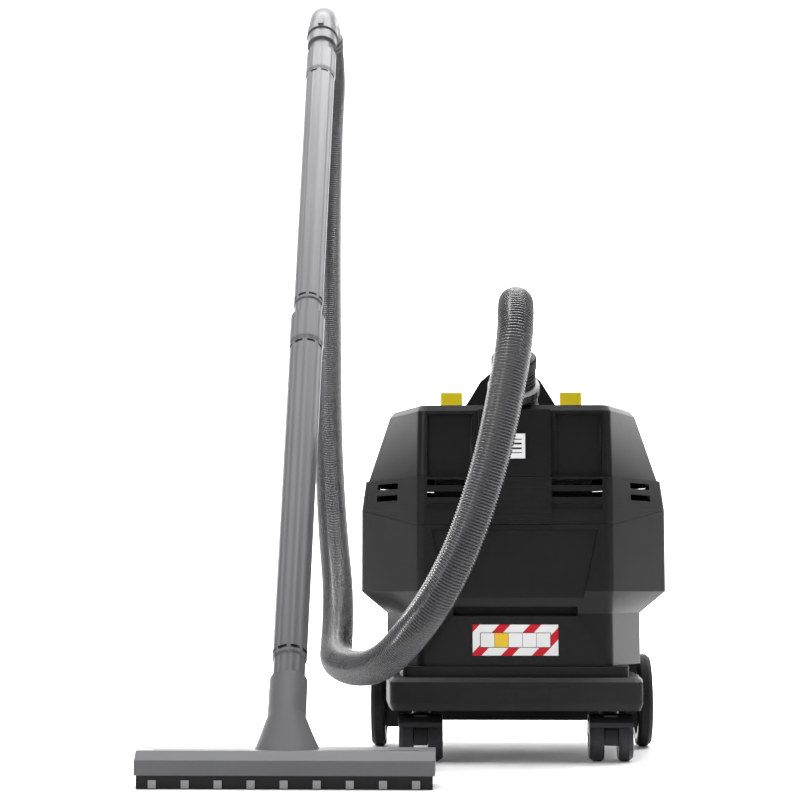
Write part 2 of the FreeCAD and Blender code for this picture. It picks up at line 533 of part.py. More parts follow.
def filter_lid():
    """Lid over the filter, hinged along its front edge, with two posts that carry the catches."""
    g = GAP
    plate = box(-LID_HALF + g, LID_HALF - g, LID_FRONT + g, LID_REAR - g, HEAD_TOP - DECK, HEAD_TOP + 1)
    crown = box(-LID_HALF + 8, LID_HALF - 8, LID_FRONT + 9, LID_REAR - 22, HEAD_TOP, HEAD_TOP + LID_THICK)
    barrel_y, barrel_z = LID_FRONT + 3.4, HEAD_TOP + 2.2
    barrel = rod(V(-60, barrel_y, barrel_z), ALONG_X, 3, 120)
    parts = [plate, crown, barrel]
    for side in (-1, 1):
        post = box(side * CATCH_X - 5, side * CATCH_X + 5, LID_REAR - 14, LID_REAR - 6, HEAD_TOP, HEAD_TOP + 9)
        parts.append(post)
    shape = joined(parts)
    shape = shape.cut(rod(V(-61, barrel_y, barrel_z), ALONG_X, 1.5 + RUNNING, 122))
    for side in (-1, 1):
        x0, x1 = sorted((side * 60.4, side * 72.6))
        shape = shape.cut(box(x0, x1, LID_FRONT - 1, barrel_y + 4.8, HEAD_TOP - DECK - 1, HEAD_TOP + LID_THICK + 1))
    for side in (-1, 1):
        x = side * CATCH_X
        shape = shape.fuse(rod(V(x - 10, LID_REAR - 10, HEAD_TOP + 5.5), ALONG_X, 1.5, 20))
    return shape


def lid_pin():
    """Hinge pin of the lid and the two eyes that hold it on the deck."""
    y, z = LID_FRONT + 3.4, HEAD_TOP + 2.2
    pin = rod(V(-70, y, z), ALONG_X, 1.5, 140)
    eyes = []
    for x0 in (-72, 61):
        arm = box(x0, x0 + 11, LID_FRONT - 9, y + 3, HEAD_TOP + 0.05, z + 3)
        eyes.append(arm)
    shape = joined([pin] + eyes)
    return shape


def catch(side):
    """Finger tab of a lid catch, pivoted on the lid's post."""
    x = side * CATCH_X
    half = CATCH_WIDTH / 2
    y, z = LID_REAR - 10, HEAD_TOP + 5.5
    tab = box(x - half, x + half, y + CATCH_TAB_IN, y + CATCH_TAB_OUT, HEAD_TOP + 2,
              HEAD_TOP + CATCH_HEIGHT + 4)
    cheeks = [box(x + s * 5.4 - (0 if s > 0 else 5), x + s * 5.4 + (5 if s > 0 else 0),
                  y - 3, y + CATCH_TAB_IN + 0.4, z - 3, z + 3) for s in (-1, 1)]
    shape = joined([tab] + cheeks)
    return shape.cut(rod(V(x - half, y, z), ALONG_X, 1.5 + RUNNING, CATCH_WIDTH))


def flat_filter():
    """Pleated cartridge in a frame."""
    x0, y0, y1 = LID_HALF - 3, LID_FRONT + 2, LID_REAR - 2
    z1 = HEAD_TOP - DECK - 1
    z0 = z1 - FILTER_HEIGHT
    frame = box(-x0, x0, y0, y1, z1 - 8, z1)
    body = box(-x0 + 5, x0 - 5, y0 + 4, y1 - 4, z0, z1 - 7)
    shape = joined([frame, body])
    pitch = 10.0
    count = int((2 * x0 - 20) // pitch)
    for i in range(count):
        x = -x0 + 12 + i * pitch
        shape = shape.cut(box(x, x + 4, y0 + 8, y1 - 8, z0 - 1, z1 - 12))
    return shape


def filter_tray():
    """Rim that carries the filter and leads its air down to the container."""
    x0, y0, y1 = LID_HALF + 4, LID_FRONT - 4, LID_REAR + 4
    z1 = HEAD_TOP - DECK - 1 - 8.2
    z0 = PARTITION_Z + PARTITION_THICK + 0.1
    outer = box(-x0, x0, y0, y1, z0, z1)
    inner = box(-x0 + 9, x0 - 9, y0 + 7, y1 - 7, z0 - 1, z1 + 1)
    return outer.cut(inner)


def motor_housing():
    z0 = PARTITION_Z + PARTITION_THICK + 0.1
    profile = [(24, z0), (MOTOR_R, z0), (MOTOR_R, 334), (52, 342), (52, MOTOR_TOP), (12, MOTOR_TOP),
               (12, MOTOR_TOP - 4), (47, MOTOR_TOP - 4), (47, 334), (MOTOR_R - 4, 329), (MOTOR_R - 4, z0 + 4),
               (24, z0 + 4)]
    shape = turned(profile)
    for i in range(6):
        port = box(MOTOR_R - 10, MOTOR_R + 5, -9, 9, z0 + 8, z0 + 22)
        port.rotate(V(0, 0, 0), UP, 60 * i + 30)
        shape = shape.cut(port)
    shape.translate(V(0, MOTOR_Y, 0))
    return shape


def stator():
    return pipe(V(0, MOTOR_Y, 345), UP, 46.5, ARMATURE_R + 2, 34)


def motor_bearings():
    lower_seat = turned([(SHAFT_R + RUNNING, 334.5), (46.8, 334.5), (46.8, 337), (11, 337), (11, 342),
                         (SHAFT_R + RUNNING, 342)])
    upper_seat = pipe(V(0, 0, MOTOR_TOP - 7), UP, 11.9, SHAFT_R + RUNNING, 7)
    both = Part.makeCompound([lower_seat, upper_seat])
    both.translate(V(0, MOTOR_Y, 0))
    return both


def rotor():
    shaft = rod(V(0, 0, 309), UP, SHAFT_R, MOTOR_TOP - 309 - 1)
    armature = rod(V(0, 0, 346), UP, ARMATURE_R, 30)
    commutator = rod(V(0, 0, 377), UP, 12, 6)
    fan = [rod(V(0, 0, 326), UP, FAN_R, 2), rod(V(0, 0, 312), UP, 9, 15)]
    for i in range(7):
        blade = box(8, FAN_R - 1, -0.9, 0.9, 314, 327)
        blade.rotate(V(0, 0, 0), UP, 360 / 7 * i)
        fan.append(blade)
    shape = joined([shaft, armature, commutator] + fan)
    shape.translate(V(0, MOTOR_Y, 0))
    return shape


def float_cage():
    top = PARTITION_Z - 0.1
    shell = pipe(V(0, 0, CAGE_BOTTOM), UP, CAGE_R, CAGE_R - 3, top - CAGE_BOTTOM)
    floor = rod(V(0, 0, CAGE_BOTTOM), UP, CAGE_R, 3)
    flange = pipe(V(0, 0, top - 3), UP, CAGE_R + 8, CAGE_R - 3, 3)
    shape = joined([shell, floor, flange])
    for i in range(4):
        window = box(CAGE_R - 12, CAGE_R + 4, -16, 16, CAGE_BOTTOM + 9, top - 12)
        window.rotate(V(0, 0, 0), UP, 90 * i)
        shape = shape.cut(window)
    shape = shape.cut(rod(V(0, 0, CAGE_BOTTOM - 1), UP, 12, 5))
    shape.translate(V(0, MOTOR_Y, 0))
    return shape


def float_ball():
    return Part.makeSphere(BALL_R, V(0, MOTOR_Y, CAGE_BOTTOM + 3.4 + BALL_R))


def inlet_duct():
    """Straight drop from the port, with a side outlet that throws the air round the container wall."""
    low = 250.0
    high = HEAD_TOP - 0.1
    shape = pipe(V(0, 0, low), UP, DUCT_R, DUCT_R - DUCT_WALL, high - low)
    shape = joined([shape, rod(V(0, 0, low), UP, DUCT_R, 3)])
    shape = shape.cut(box(0, 40, -15, 15, low + 4, low + 34))
    shape.translate(V(0, PORT_Y, 0))
    return shape


def exhaust_foam():
    return box(-84, 84, 138, 156, PARTITION_Z + PARTITION_THICK + 0.2, 330)


def switch_box():
    body = box(KNOB_X - 14, KNOB_X + 14, KNOB_Y - 14, KNOB_Y + 14, 386, HEAD_TOP - DECK - 0.2)
    return body.cut(rod(V(KNOB_X, KNOB_Y, 390), UP, 4 + RUNNING, 40))


def power_knob():
    shaft = rod(V(KNOB_X, KNOB_Y, 391), UP, 4, HEAD_TOP - 391 + 3)
    dial = Part.makeCone(KNOB_R, KNOB_R - 1.5, 14, V(KNOB_X, KNOB_Y, HEAD_TOP + GAP))
    grip = box(KNOB_X - 3, KNOB_X + 3, KNOB_Y - KNOB_R + 2, KNOB_Y + KNOB_R - 2, HEAD_TOP + 12, HEAD_TOP + 20)
    return joined([shaft, dial, grip])


def button_guide():
    top = HEAD_TOP - DECK - 0.2
    shape = pipe(V(BUTTON_X, KNOB_Y, 378), UP, BUTTON_R + 4, BUTTON_R + GAP, top - 378)
    return joined([shape, rod(V(BUTTON_X, KNOB_Y, 378), UP, BUTTON_R + 4, 3)])


def clean_button():
    cap = rod(V(BUTTON_X, KNOB_Y, 404), UP, BUTTON_R, HEAD_TOP + 6.5 - 404)
    return cap.makeFillet(2, [e for e in cap.Edges if e.BoundBox.ZMin > HEAD_TOP + 6])


def button_spring():
    low, high = 381.2, 403.8
    helix = Part.makeHelix(4.4, high - low - 1.6, 8)
    section = Part.Wire(Part.makeCircle(0.8, V(8, 0, 0), ALONG_Y))
    coil = Part.Wire(helix).makePipeShell([section], True, True)
    coil.translate(V(BUTTON_X, KNOB_Y, low + 0.8))
    return coil


def cable_gland():
    profile = [(3.8, 0), (6, 0), (6, 10), (10, 10), (10, 14), (7.5, 16), (5.2, 34), (3.8, 34)]
    shape = turned(profile)
    shape.rotate(V(0, 0, 0), ALONG_X, -90)
    shape.translate(V(-60, REAR - 10, 316))
    return shape


def cable_hook():
    """Hook for the wound cable: a tongue through the cover, an arm and an upturned tip."""
    arm = box(-11, 11, REAR - 26, REAR + 14, 360.5, 365.5)
    tip = box(-14, 14, REAR + 9, REAR + 14, 361, 386)
    return joined([arm, tip])


# ---- hose port --------------------------------------------------------------------------------------
def port_place(shape):
    """Moves a shape built along the local z axis onto the port's leaning axis."""
    shape.rotate(V(0, 0, 0), ALONG_X, PORT_LEAN)
    shape.translate(V(0, PORT_Y, HEAD_TOP))
    return shape


def hose_port():
    neck = port_place(rod(V(0, 0, -40), UP, PORT_R, 40 + PORT_LENGTH))
    bore = port_place(rod(V(0, 0, -60), UP, PORT_BORE, 80 + PORT_LENGTH))
    flange = rod(V(0, PORT_Y, HEAD_TOP + 0.1), UP, PORT_R + 1.5, 4)
    body = neck.fuse(flange).cut(box(-60, 60, PORT_Y - 80, PORT_Y + 80, HEAD_TOP - 80, HEAD_TOP + 0.1))
    drop = rod(V(0, PORT_Y, HEAD_TOP - 1), UP, PORT_BORE - 1, 6)
    ring_room = port_place(rod(V(0, 0, PORT_LENGTH), UP, PORT_R + 6, RING_LENGTH * 2))
    return body.cut(bore).cut(drop).cut(ring_room).removeSplitter()


def port_ring():
    start = PORT_LENGTH + 0.3
    profile = [(22.5 + RUNNING, start), (30, start), (31, start + 2), (31, start + RING_LENGTH - 2),
               (30, start + RING_LENGTH), (22.5 + RUNNING, start + RING_LENGTH)]
    shape = turned(profile)
    for i in range(24):
        notch = box(30.2, 34, -1.2, 1.2, start + 3, start + RING_LENGTH - 3)
        notch.rotate(V(0, 0, 0), UP, 15 * i)
        shape = shape.cut(notch)
    return port_place(shape)


def hose_sleeve():
    """Cuff on the hose: a spigot through the ring and a ribbed grip."""
    start = PORT_LENGTH + RING_LENGTH + 0.6
    outer, inner = 26.0, HOSE_R - HOSE_WALL
    profile = [(inner, SPIGOT_START), (22.5, SPIGOT_START), (22.5, start)]
    z = start
    while z < SLEEVE_END - 16:
        profile += [(outer, z), (outer, z + 3), (outer - 1.5, z + 3), (outer - 1.5, z + 4.5)]
        z += 4.5
    profile += [(outer + 1, z), (outer + 1, SLEEVE_END - 2), (outer - 1, SLEEVE_END), (inner, SLEEVE_END)]
    return port_place(turned(profile))


# ---- wand -------------------------------------------------------------------------------------------
def wand_place(shape):
    shape.rotate(V(0, 0, 0), ALONG_X, -WAND_LEAN)
    shape.rotate(V(0, 0, 0), ALONG_Y, WAND_SWAY)
    shape.translate(WAND_FOOT)
    return shape


def slot_ring(radius, height):
    """Row of short shallow windows round a tube."""
    windows = []
    for i in range(8):
        window = box(radius - 1.2, radius + 5, -5.2, 5.2, height - 2, height + 2)
        window.rotate(V(0, 0, 0), UP, 45 * i + 22.5)
        windows.append(window)
    return Part.makeCompound(windows)


def wand_tube(start):
    """Push-fit tube: bare stub below, slightly conical body, socket collar above."""
    low, high = start, start + TUBE_BODY
    top = high + COLLAR_LENGTH
    bare = start - 4
    profile = [(BORE_R, bare - STUB_BARE - STUB_IN + 4), (STUB_R, bare - STUB_BARE - STUB_IN + 4),
               (STUB_R, bare), (TUBE_LOW_R - 1, bare), (TUBE_LOW_R, bare + 2), (TUBE_HIGH_R, high),
               (COLLAR_R, high + 6), (COLLAR_R, top - 1.5), (COLLAR_R - 1.5, top), (STUB_R + RUNNING, top),
               (STUB_R + RUNNING, top - STUB_IN - 1), (BORE_R, top - STUB_IN - 5)]
    shape = turned(profile)
    shape = shape.cut(slot_ring(TUBE_LOW_R, low + 3)).cut(slot_ring(TUBE_HIGH_R, high - 3))
    return wand_place(shape)


def elbow_centre():
    """Start of the bend and its centre of curvature, in wand coordinates before the twist."""
    start = TUBE_PITCH + TUBE_BODY + COLLAR_LENGTH + 22 + ELBOW_BEND_START
    return start, V(0, ELBOW_BEND_R, start)


def elbow_frame(shape):
    shape.rotate(V(0, 0, 0), UP, -ELBOW_TWIST)
    return wand_place(shape)


def elbow_end(distance):
    """Point and heading on the elbow's outlet axis, in wand coordinates before the twist."""
    start, centre = elbow_centre()
    turn = math.radians(ELBOW_TURN)
    point = centre + V(0, -ELBOW_BEND_R * math.cos(turn), ELBOW_BEND_R * math.sin(turn))
    heading = V(0, math.sin(turn), math.cos(turn))
    return point + heading * distance, heading


def swept_bend(radius):
    start, centre = elbow_centre()
    circle = Part.Face(Part.Wire(Part.makeCircle(radius, V(0, 0, start), UP)))
    return circle.revolve(centre, V(-1, 0, 0), ELBOW_TURN)


def wand_elbow():
    start, _ = elbow_centre()
    seat = TUBE_PITCH + TUBE_BODY + COLLAR_LENGTH - STUB_IN + 1
    foot = start - ELBOW_BEND_START
    out, heading = elbow_end(0)
    outer = [rod(V(0, 0, seat), UP, STUB_R, start - seat), rod(V(0, 0, foot), UP, ELBOW_R + 0.8, 18),
             rod(V(0, 0, foot), UP, ELBOW_R, start - foot), swept_bend(ELBOW_R),
             rod(out, heading, ELBOW_R, ELBOW_EXIT)]
    inner = [rod(V(0, 0, seat - 1), UP, BORE_R, start - seat + 1), swept_bend(BORE_R),
             rod(out, heading, BORE_R, ELBOW_EXIT + 1)]
    shape = joined(outer).cut(joined(inner))
    return elbow_frame(shape)


def air_slide():
    """Ring round the elbow's straight part that uncovers the false-air opening."""
    start, _ = elbow_centre()
    low = start - 26
    profile = [(ELBOW_R + RUNNING, low), (ELBOW_R + 2.4, low), (ELBOW_R + 2.4, low + 16),
               (ELBOW_R + RUNNING, low + 16)]
    shape = turned(profile)
    thumb = box(-4, 4, -ELBOW_R - 5, -ELBOW_R - 1, low + 3, low + 13)
    thumb = thumb.cut(rod(V(0, 0, low), UP, ELBOW_R + RUNNING, 20))
    window = box(-4.5, 4.5, ELBOW_R - 3, ELBOW_R + 5, low + 4, low + 12)
    return elbow_frame(joined([shape, thumb]).cut(window))


def elbow_cuff():
    start, heading = elbow_end(ELBOW_EXIT + 0.05)
    outer = rod(start, heading, CUFF_R, CUFF_LENGTH)
    inner = rod(start, heading, HOSE_R - HOSE_WALL, CUFF_LENGTH)
    shape = outer.cut(inner)
    groove_at, _ = elbow_end(ELBOW_EXIT + CUFF_LENGTH / 2 - 1)
    groove = rod(groove_at, heading, CUFF_R + 2, 2).cut(rod(groove_at, heading, CUFF_R - 1.2, 2))
    return elbow_frame(shape.cut(groove))


def cuff_face():
    """Middle of the cuff's outlet and the direction that the hose leaves in."""
    point, heading = elbow_end(ELBOW_EXIT + 0.05 + CUFF_LENGTH)
    probe = elbow_frame(Part.makeLine(point, point + heading * 10))
    return probe.Vertexes[0].Point, (probe.Vertexes[1].Point - probe.Vertexes[0].Point).normalize()


# ---- nozzle -----------------------------------------------------------------------------------------
NECK_TOP, NECK_COLLAR = -30.0, 46.0


def nozzle_section(clear):
    """Side profile of the nozzle body as (depth from the front edge, height) points."""
    w = clear
    low = NOZZLE_LOW - (1 if clear else 0)
    return [(w, low), (NOZZLE_DEPTH - w, low), (NOZZLE_DEPTH - w, NOZZLE_LOW + 12),
            (NOZZLE_DEPTH - 10 - w * 0.4, NOZZLE_HIGH - w), (10 + w * 0.4, NOZZLE_HIGH - w), (w, NOZZLE_HIGH - 9)]


def nozzle_bar(clear):
    half = NOZZLE_WIDTH / 2 - clear
    points = [V(NOZZLE_X - half, NOZZLE_FRONT_Y + y, z) for y, z in nozzle_section(clear)]
    return Part.Face(Part.makePolygon(points + points[:1])).extrude(V(2 * half, 0, 0))


def neck_loft(radius, foot_half, foot_depth, foot_z):
    """Loft from an oblong foot on the bar to the round neck on the wand's axis."""
    round_end = wand_place(Part.Wire(Part.makeCircle(radius, V(0, 0, NECK_TOP - NECK_COLLAR), UP)))
    middle_y = NOZZLE_FRONT_Y + NOZZLE_DEPTH / 2
    foot = Part.Ellipse(V(NOZZLE_X, middle_y, foot_z), foot_half, foot_depth / 2).toShape()
    return Part.makeLoft([Part.Wire(foot), round_end], True, True)


def nozzle_body():
    foot = NECK_TOP - NECK_COLLAR
    collar = wand_place(rod(V(0, 0, foot), UP, STUB_R + 3, NECK_COLLAR))
    outer = joined([nozzle_bar(0), neck_loft(STUB_R + 3, 34, NOZZLE_DEPTH - 16, NOZZLE_HIGH - 3), collar])
    throat = neck_loft(BORE_R - 1, 28, NOZZLE_DEPTH - 26, NOZZLE_HIGH - 5)
    socket = wand_place(rod(V(0, 0, foot + 3), UP, STUB_R + RUNNING, NECK_COLLAR))
    passage = wand_place(rod(V(0, 0, foot - 2), UP, BORE_R, NECK_COLLAR))
    shape = outer.cut(nozzle_bar(NOZZLE_WALL)).cut(throat).cut(passage).cut(socket)
    top_groove_y = NOZZLE_FRONT_Y + 16
    for side in (-1, 1):
        x0, x1 = sorted((NOZZLE_X + side * 36, NOZZLE_X + side * 134))
        shape = shape.cut(box(x0, x1, top_groove_y, top_groove_y + 5, NOZZLE_HIGH - 1.5, NOZZLE_HIGH + 2))
    rear = NOZZLE_FRONT_Y + NOZZLE_DEPTH
    for side in (-1, 1):
        x = NOZZLE_X + side * ROLLER_X
        ear_gap = 7
        for s in (-1, 1):
            ear = box(x + s * ear_gap - 1.5, x + s * ear_gap + 1.5, rear - 1, rear + ROLLER_BACK + 5, 5,
                      NOZZLE_LOW + 10)
            shape = shape.fuse(ear)
        shape = shape.cut(rod(V(x - 12, rear + ROLLER_BACK, ROLLER_R), ALONG_X, 2, 24))
    return shape.removeSplitter()


def sole_plate():
    """Plate that closes the mouth, with the suction slot left open and a slot for each strip."""
    half = NOZZLE_WIDTH / 2 - NOZZLE_WALL - 0.2
    y0 = NOZZLE_FRONT_Y + NOZZLE_WALL + 0.2
    y1 = NOZZLE_FRONT_Y + NOZZLE_DEPTH - NOZZLE_WALL - 0.2
    plate = box(NOZZLE_X - half, NOZZLE_X + half, y0, y1, NOZZLE_LOW, NOZZLE_LOW + 3)
    mouth = box(NOZZLE_X - half + 10, NOZZLE_X + half - 10, y0 + 16, y0 + 38, 0, NOZZLE_HIGH)
    return plate.cut(mouth)


def front_strip():
    half = NOZZLE_WIDTH / 2 - 2
    y0 = NOZZLE_FRONT_Y + 1
    strip = [box(NOZZLE_X - half, NOZZLE_X + half, y0, y0 + STRIP_DEPTH, 0, NOZZLE_LOW - 0.1)]
    pitch = 2 * half / STRIP_NIBS
    for i in range(STRIP_NIBS):
        x = NOZZLE_X - half + pitch * (i + 0.5)
        strip.append(box(x - 4, x + 4, y0 - 2, y0 + 1, 1, 9))
    return joined(strip)


def rear_strip():
    half = NOZZLE_WIDTH / 2 - 4
    y1 = NOZZLE_FRONT_Y + NOZZLE_DEPTH - NOZZLE_WALL - 4
    return box(NOZZLE_X - half, NOZZLE_X + half, y1 - STRIP_DEPTH, y1, 0, NOZZLE_LOW - 0.1)


def nozzle_roller(side):
    rear = NOZZLE_FRONT_Y + NOZZLE_DEPTH
    start = V(NOZZLE_X + side * ROLLER_X - 4.5, rear + ROLLER_BACK, ROLLER_R)
    return pipe(start, ALONG_X, ROLLER_R, 2 + RUNNING, 9)


def roller_pins():
    rear = NOZZLE_FRONT_Y + NOZZLE_DEPTH
    pins = [rod(V(NOZZLE_X + s * ROLLER_X - 9, rear + ROLLER_BACK, ROLLER_R), ALONG_X, 2, 18) for s in (-1, 1)]
    return Part.makeCompound(pins)


# ---- hose -------------------------------------------------------------------------------------------
def hose_route():
    """The hose's corner points, from the sleeve's face to the cuff's face."""
    lean = math.radians(PORT_LEAN)
    port_axis = V(0, -math.sin(lean), math.cos(lean))
    start = V(MACHINE_X, MACHINE_Y + PORT_Y, HEAD_TOP) + port_axis * (SLEEVE_END + 0.05)
    end, heading = cuff_face()
    free = [V(*p) for p in HOSE_POINTS]
    return [start, start + port_axis * SLEEVE_LEAD] + free + [end + heading * CUFF_LEAD, end]


def hose_path(points):
    """Straight runs joined by tangent arcs, each as large as its two runs allow."""
    edges = []
    radii = []
    at = points[0]
    for before, here, after in zip(points, points[1:], points[2:]):
        into = (here - before).normalize()
        away = (after - here).normalize()
        turn = into.getAngle(away)
        reach = 0.45 * min(here.distanceToPoint(before), here.distanceToPoint(after))
        radius = reach / math.tan(turn / 2)
        first = here - into * reach
        last = here + away * reach
        centre = here + (away - into).normalize() * math.hypot(reach, radius)
        middle = centre + (here - centre).normalize() * radius
        edges.append(Part.LineSegment(at, first).toShape())
        edges.append(Part.Arc(first, middle, last).toShape())
        radii.append(round(radius))
        at = last
    edges.append(Part.LineSegment(at, points[-1]).toShape())
    return Part.Wire(edges), radii


def suction_hose():
    points = hose_route()
    path, radii = hose_path(points)
    print("hose arc radii", radii)
    heading = (points[1] - points[0]).normalize()
    skins = []
    for radius in (HOSE_R, HOSE_R - HOSE_WALL):
        section = Part.Wire(Part.makeCircle(radius, points[0], heading))
        skins.append(path.makePipeShell([section], True, False))
    hose = skins[0].cut(skins[1])
    area = math.pi * (HOSE_R ** 2 - (HOSE_R - HOSE_WALL) ** 2)
    print("hose length", round(path.Length, 1), "volume", round(hose.Volume), "section x length",
          round(area * path.Length))
    return hose


# ---- all nodes --------------------------------------------------------------------------------------
def machine_nodes():
    nodes = {
        "base_trolley": base_trolley(), "base_screws": base_screws(), "rear_axle": rear_axle(),
        "container": container(), "rim_gasket": gasket(), "striped_plate": striped_plate(),
        "latch_pins": latch_pins(), "head_lower_housing": head_lower(), "head_upper_cover": head_upper(),
        "head_screws": head_screws(), "badge_plate": badge_plate(), "carry_handle": carry_handle(),
        "filter_lid": filter_lid(), "lid_hinge_pin": lid_pin(),
        "flat_filter": flat_filter(), "filter_tray": filter_tray(),
        "motor_housing": motor_housing(), "motor_stator": stator(), "motor_bearings": motor_bearings(),
        "motor_rotor": rotor(), "float_cage": float_cage(), "float_ball": float_ball(),
        "inlet_duct": inlet_duct(), "exhaust_foam": exhaust_foam(), "switch_box": switch_box(),
        "power_knob": power_knob(), "button_guide": button_guide(), "filter_clean_button": clean_button(),
        "button_spring": button_spring(), "cable_gland": cable_gland(), "cable_hook": cable_hook(),
        "hose_port": hose_port(), "port_ring": port_ring(), "hose_sleeve": hose_sleeve(),
    }
    for name, side in (("left", -1), ("right", 1)):
        nodes["rear_wheel_" + name] = rear_wheel(side)
        nodes["rear_tyre_" + name] = rear_tyre(side)
        nodes["caster_hood_" + name] = caster_hood(side)
        nodes["caster_pins_" + name] = Part.makeCompound([caster_stem(side), caster_axle(side)])
        nodes["caster_wheels_" + name] = Part.makeCompound([caster_disc(side, -1), caster_disc(side, 1)])
        nodes["latch_" + name] = latch(side)
        nodes["lid_catch_" + name] = catch(side)
    for shape in nodes.values():
        shape.translate(V(MACHINE_X, MACHINE_Y, 0))
    return nodes


def wand_nodes():
    return {
        "lower_tube": wand_tube(0), "upper_tube": wand_tube(TUBE_PITCH), "wand_elbow": wand_elbow(),
        "air_slide": air_slide(), "elbow_cuff": elbow_cuff(), "nozzle_body": nozzle_body(),
        "sole_plate": sole_plate(), "front_strip": front_strip(), "rear_strip": rear_strip(),
        "roller_pins": roller_pins(), "suction_hose": suction_hose(),
        "nozzle_rollers": Part.makeCompound([nozzle_roller(-1), nozzle_roller(1)]),
    }


def stand_over_origin(nodes):
    """Puts the middle of everything but the hose above the origin."""
    rigid = Part.makeCompound([shape for name, shape in nodes.items() if name != "suction_hose"]).BoundBox
    shift = V(-rigid.Center.x, -rigid.Center.y, -rigid.ZMin)
    print("shift over the origin", shift)
    for shape in nodes.values():
        shape.translate(shift)


def main():
    os.makedirs("parts", exist_ok=True)
    nodes = machine_nodes()
    nodes.update(wand_nodes())
    stand_over_origin(nodes)
    for name, shape in nodes.items():
        solids = shape.Solids
        if not shape.isValid() or not solids:
            print("NOT VALID", name, shape.ShapeType, len(solids))
        if shape.ShapeType == "Compound" and len(solids) == 1:
            shape = solids[0]
        shape.exportStep("parts/" + name + ".step")
    print(len(nodes), "nodes")
    whole = Part.makeCompound([s for n, s in nodes.items() if n != "suction_hose"]).BoundBox
    print("without the hose: x", round(whole.XMin, 2), round(whole.XMax, 2), "y", round(whole.YMin, 2),
          round(whole.YMax, 2), "z", round(whole.ZMin, 2), round(whole.ZMax, 2))
    face, heading = cuff_face()
    print("cuff face", face, "heading", heading)


main()
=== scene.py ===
# %% [markdown]
# # A compact tub vacuum cleaner
# A wet-and-dry vacuum is a few big injection mouldings, a corrugated hose and two extruded tubes. The
# engineering model already has their true sizes, so it is loaded first and everything else is built on it.

# %% Load the engineering model
import math
import bpy
import bmesh
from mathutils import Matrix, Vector


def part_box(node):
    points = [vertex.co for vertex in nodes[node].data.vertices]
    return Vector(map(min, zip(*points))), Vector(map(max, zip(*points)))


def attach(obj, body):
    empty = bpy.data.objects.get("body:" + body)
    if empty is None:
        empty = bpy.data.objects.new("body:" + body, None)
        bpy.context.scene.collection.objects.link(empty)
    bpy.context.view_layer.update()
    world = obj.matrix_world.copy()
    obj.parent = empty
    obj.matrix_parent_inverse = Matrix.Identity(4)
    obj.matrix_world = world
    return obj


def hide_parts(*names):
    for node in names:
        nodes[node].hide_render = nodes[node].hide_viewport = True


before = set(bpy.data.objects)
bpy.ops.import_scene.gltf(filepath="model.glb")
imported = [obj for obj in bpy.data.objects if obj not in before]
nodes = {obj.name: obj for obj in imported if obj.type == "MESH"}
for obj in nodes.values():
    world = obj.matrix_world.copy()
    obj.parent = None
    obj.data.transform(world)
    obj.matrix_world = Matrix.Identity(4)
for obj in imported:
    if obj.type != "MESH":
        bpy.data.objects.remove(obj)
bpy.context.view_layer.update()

MM = 0.001

# %% [markdown]
# ## Camera
# A long lens from low in front keeps the tall wand and the tub in one frame without bending either. The
# camera is turned a little left and up instead of shifting the lens, so that any other view stays centred.

# %% Camera
CAMERA_AT = Vector((0.0424, -2.4255, 0.1902))
LOOK_UP, LOOK_LEFT = 5.771, 1.886
camera_data = bpy.data.cameras.new("camera")
camera_data.lens, camera_data.sensor_width = 88.08, 36.0
camera = bpy.data.objects.new("camera", camera_data)
bpy.context.scene.collection.objects.link(camera)
camera.location = CAMERA_AT
camera.rotation_euler = (math.radians(90 + LOOK_UP), 0, math.radians(LOOK_LEFT))
bpy.context.scene.camera = camera
print("camera at", tuple(round(v, 3) for v in camera.location), "lens", camera_data.lens, "mm")

# %% [markdown]
# ## Floor and light
# Black plastic shows its shape only by what it reflects, so the light is a few big soft panels: one high on
# the left, one weaker on the right, one overhead, and two behind that draw the vertical edges. A sixth
# washes the backdrop, so the background stays white.

# %% Floor that curves up into a backdrop
FLOOR_REACH, BACKDROP_AT, BACKDROP_HIGH, SWEEP = 7.0, 3.2, 4.5, 1.6
floor_mesh = bmesh.new()
bmesh.ops.create_grid(floor_mesh, x_segments=1, y_segments=1, size=1)
bmesh.ops.scale(floor_mesh, vec=(FLOOR_REACH, FLOOR_REACH, 1), verts=floor_mesh.verts)
bmesh.ops.translate(floor_mesh, vec=(0, BACKDROP_AT - FLOOR_REACH, 0), verts=floor_mesh.verts)
floor_mesh.edges.ensure_lookup_table()
rear_edge = [e for e in floor_mesh.edges if all(v.co.y > BACKDROP_AT - MM for v in e.verts)]
risen = bmesh.ops.extrude_edge_only(floor_mesh, edges=rear_edge)["geom"]
risen_verts = [g for g in risen if isinstance(g, bmesh.types.BMVert)]
bmesh.ops.translate(floor_mesh, vec=(0, 0, BACKDROP_HIGH), verts=risen_verts)
bmesh.ops.bevel(floor_mesh, geom=rear_edge, offset=SWEEP, segments=24, profile=0.5, affect="EDGES",
                material=-1)
bmesh.ops.recalc_face_normals(floor_mesh, faces=floor_mesh.faces)
floor_data = bpy.data.meshes.new("floor")
floor_mesh.to_mesh(floor_data)
floor_mesh.free()
floor = bpy.data.objects.new("floor", floor_data)
bpy.context.scene.collection.objects.link(floor)
print("floor faces", len(floor_data.polygons))

